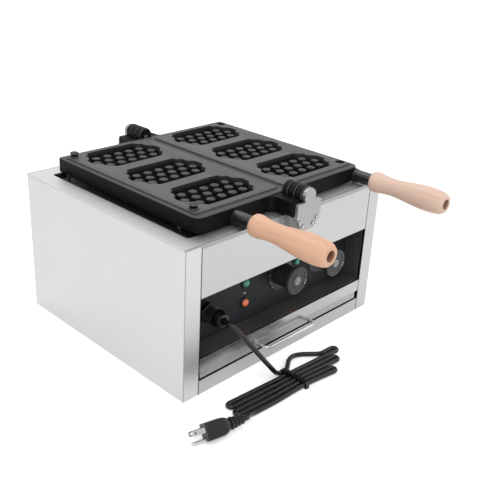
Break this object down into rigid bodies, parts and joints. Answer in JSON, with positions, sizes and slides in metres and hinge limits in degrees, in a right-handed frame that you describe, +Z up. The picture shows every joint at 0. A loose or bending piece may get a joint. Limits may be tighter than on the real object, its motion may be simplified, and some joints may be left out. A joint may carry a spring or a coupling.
{
  "type": "waffle maker",
  "caption": "Countertop waffle maker: hinged cast moulds lie open over a heated steel case, with wooden handles, dial knobs, pilot lamps, a crumb tray and a mains cord.",
  "frame": {"origin": "middle of the case's flat underside, on the surface that it stands on", "axes": "+X to the right seen from the controls, +Y towards the back, +Z up"},
  "size_m": [0.453, 0.4958, 0.2585],
  "materials": {
    "stainless": "satin",
    "dark_sheet": "satin",
    "coated_casting": "matte",
    "bright_metal": "polished",
    "handle_wood": "satin",
    "black_plastic": "matte",
    "grey_plate": "matte",
    "green_lens": "gloss",
    "orange_lens": "gloss",
    "cord_rubber": "matte",
    "insulator": "matte",
    "heater_sheath": "matte"
  },
  "bodies": {
    "case": {"side_panel_left": "stainless", "side_panel_right": "stainless", "back_panel": "stainless", "base_pan": "stainless", "top_deck": "stainless", "front_fascia": "stainless", "lower_rail": "stainless", "recess_liner": "stainless", "hinge_bracket_front": "stainless", "hinge_bracket_rear": "stainless", "control_panel": "dark_sheet", "heater_well": "dark_sheet", "element_frame": "dark_sheet", "rest_rail_left": "dark_sheet", "rest_rail_right": "dark_sheet", "rest_screw_left_front": "dark_sheet", "rest_screw_left_rear": "dark_sheet", "rest_screw_right_front": "dark_sheet", "rest_screw_right_rear": "dark_sheet", "bracket_screw_left_upper": "bright_metal", "bracket_screw_left_lower": "bright_metal", "bracket_screw_right_upper": "bright_metal", "bracket_screw_right_lower": "bright_metal", "hinge_pin_front": "bright_metal", "hinge_pin_rear": "bright_metal", "plug_blade_left": "bright_metal", "plug_blade_right": "bright_metal", "plug_ground_pin": "bright_metal", "cord_gland": "black_plastic", "gland_nut": "black_plastic", "cord_tie": "black_plastic", "plug_body": "black_plastic", "dial_plate_left": "grey_plate", "dial_plate_right": "grey_plate", "pilot_lamp_green_left": "green_lens", "pilot_lamp_green_right": "green_lens", "pilot_lamp_orange_left": "orange_lens", "pilot_lamp_orange_right": "orange_lens", "cord_lead": "cord_rubber", "cord_hank": "cord_rubber", "cord_tail": "cord_rubber", "thermostat_left": "insulator", "thermostat_right": "insulator", "terminal_block": "insulator", "heating_element_left": "heater_sheath", "heating_element_right": "heater_sheath"},
    "mould_left": {"mould_left": "coated_casting", "locating_pin_front": "bright_metal", "locating_pin_rear": "bright_metal", "grip_left": "handle_wood", "grip_bolt_left": "bright_metal"},
    "mould_right": {"mould_right": "coated_casting", "grip_right": "handle_wood", "grip_bolt_right": "bright_metal"},
    "knob_left": {"dial_knob_left": "black_plastic", "thermostat_shaft_left": "bright_metal"},
    "knob_right": {"dial_knob_right": "black_plastic", "thermostat_shaft_right": "bright_metal"},
    "tray": {"crumb_tray": "stainless", "tray_handle": "bright_metal"}
  },
  "joints": [
    {"name": "left_mould_hinge", "type": "hinge", "parent": "case", "child": "mould_left", "pos_m": [0, -0.0055, 0.246], "axis": [0, 1, 0], "range_deg": [0, 180]},
    {"name": "right_mould_hinge", "type": "hinge", "parent": "case", "child": "mould_right", "pos_m": [0, -0.0055, 0.246], "axis": [0, -1, 0], "range_deg": [0, 180]},
    {"name": "left_dial_turn", "type": "hinge", "parent": "case", "child": "knob_left", "pos_m": [0.017, -0.16, 0.105], "axis": [0, 1, 0], "range_deg": [0, 270]},
    {"name": "right_dial_turn", "type": "hinge", "parent": "case", "child": "knob_right", "pos_m": [0.106, -0.16, 0.105], "axis": [0, 1, 0], "range_deg": [0, 270]},
    {"name": "crumb_tray_slide", "type": "slide", "parent": "case", "child": "tray", "axis": [0, -1, 0], "range_m": [0, 0.038]}
  ]
}
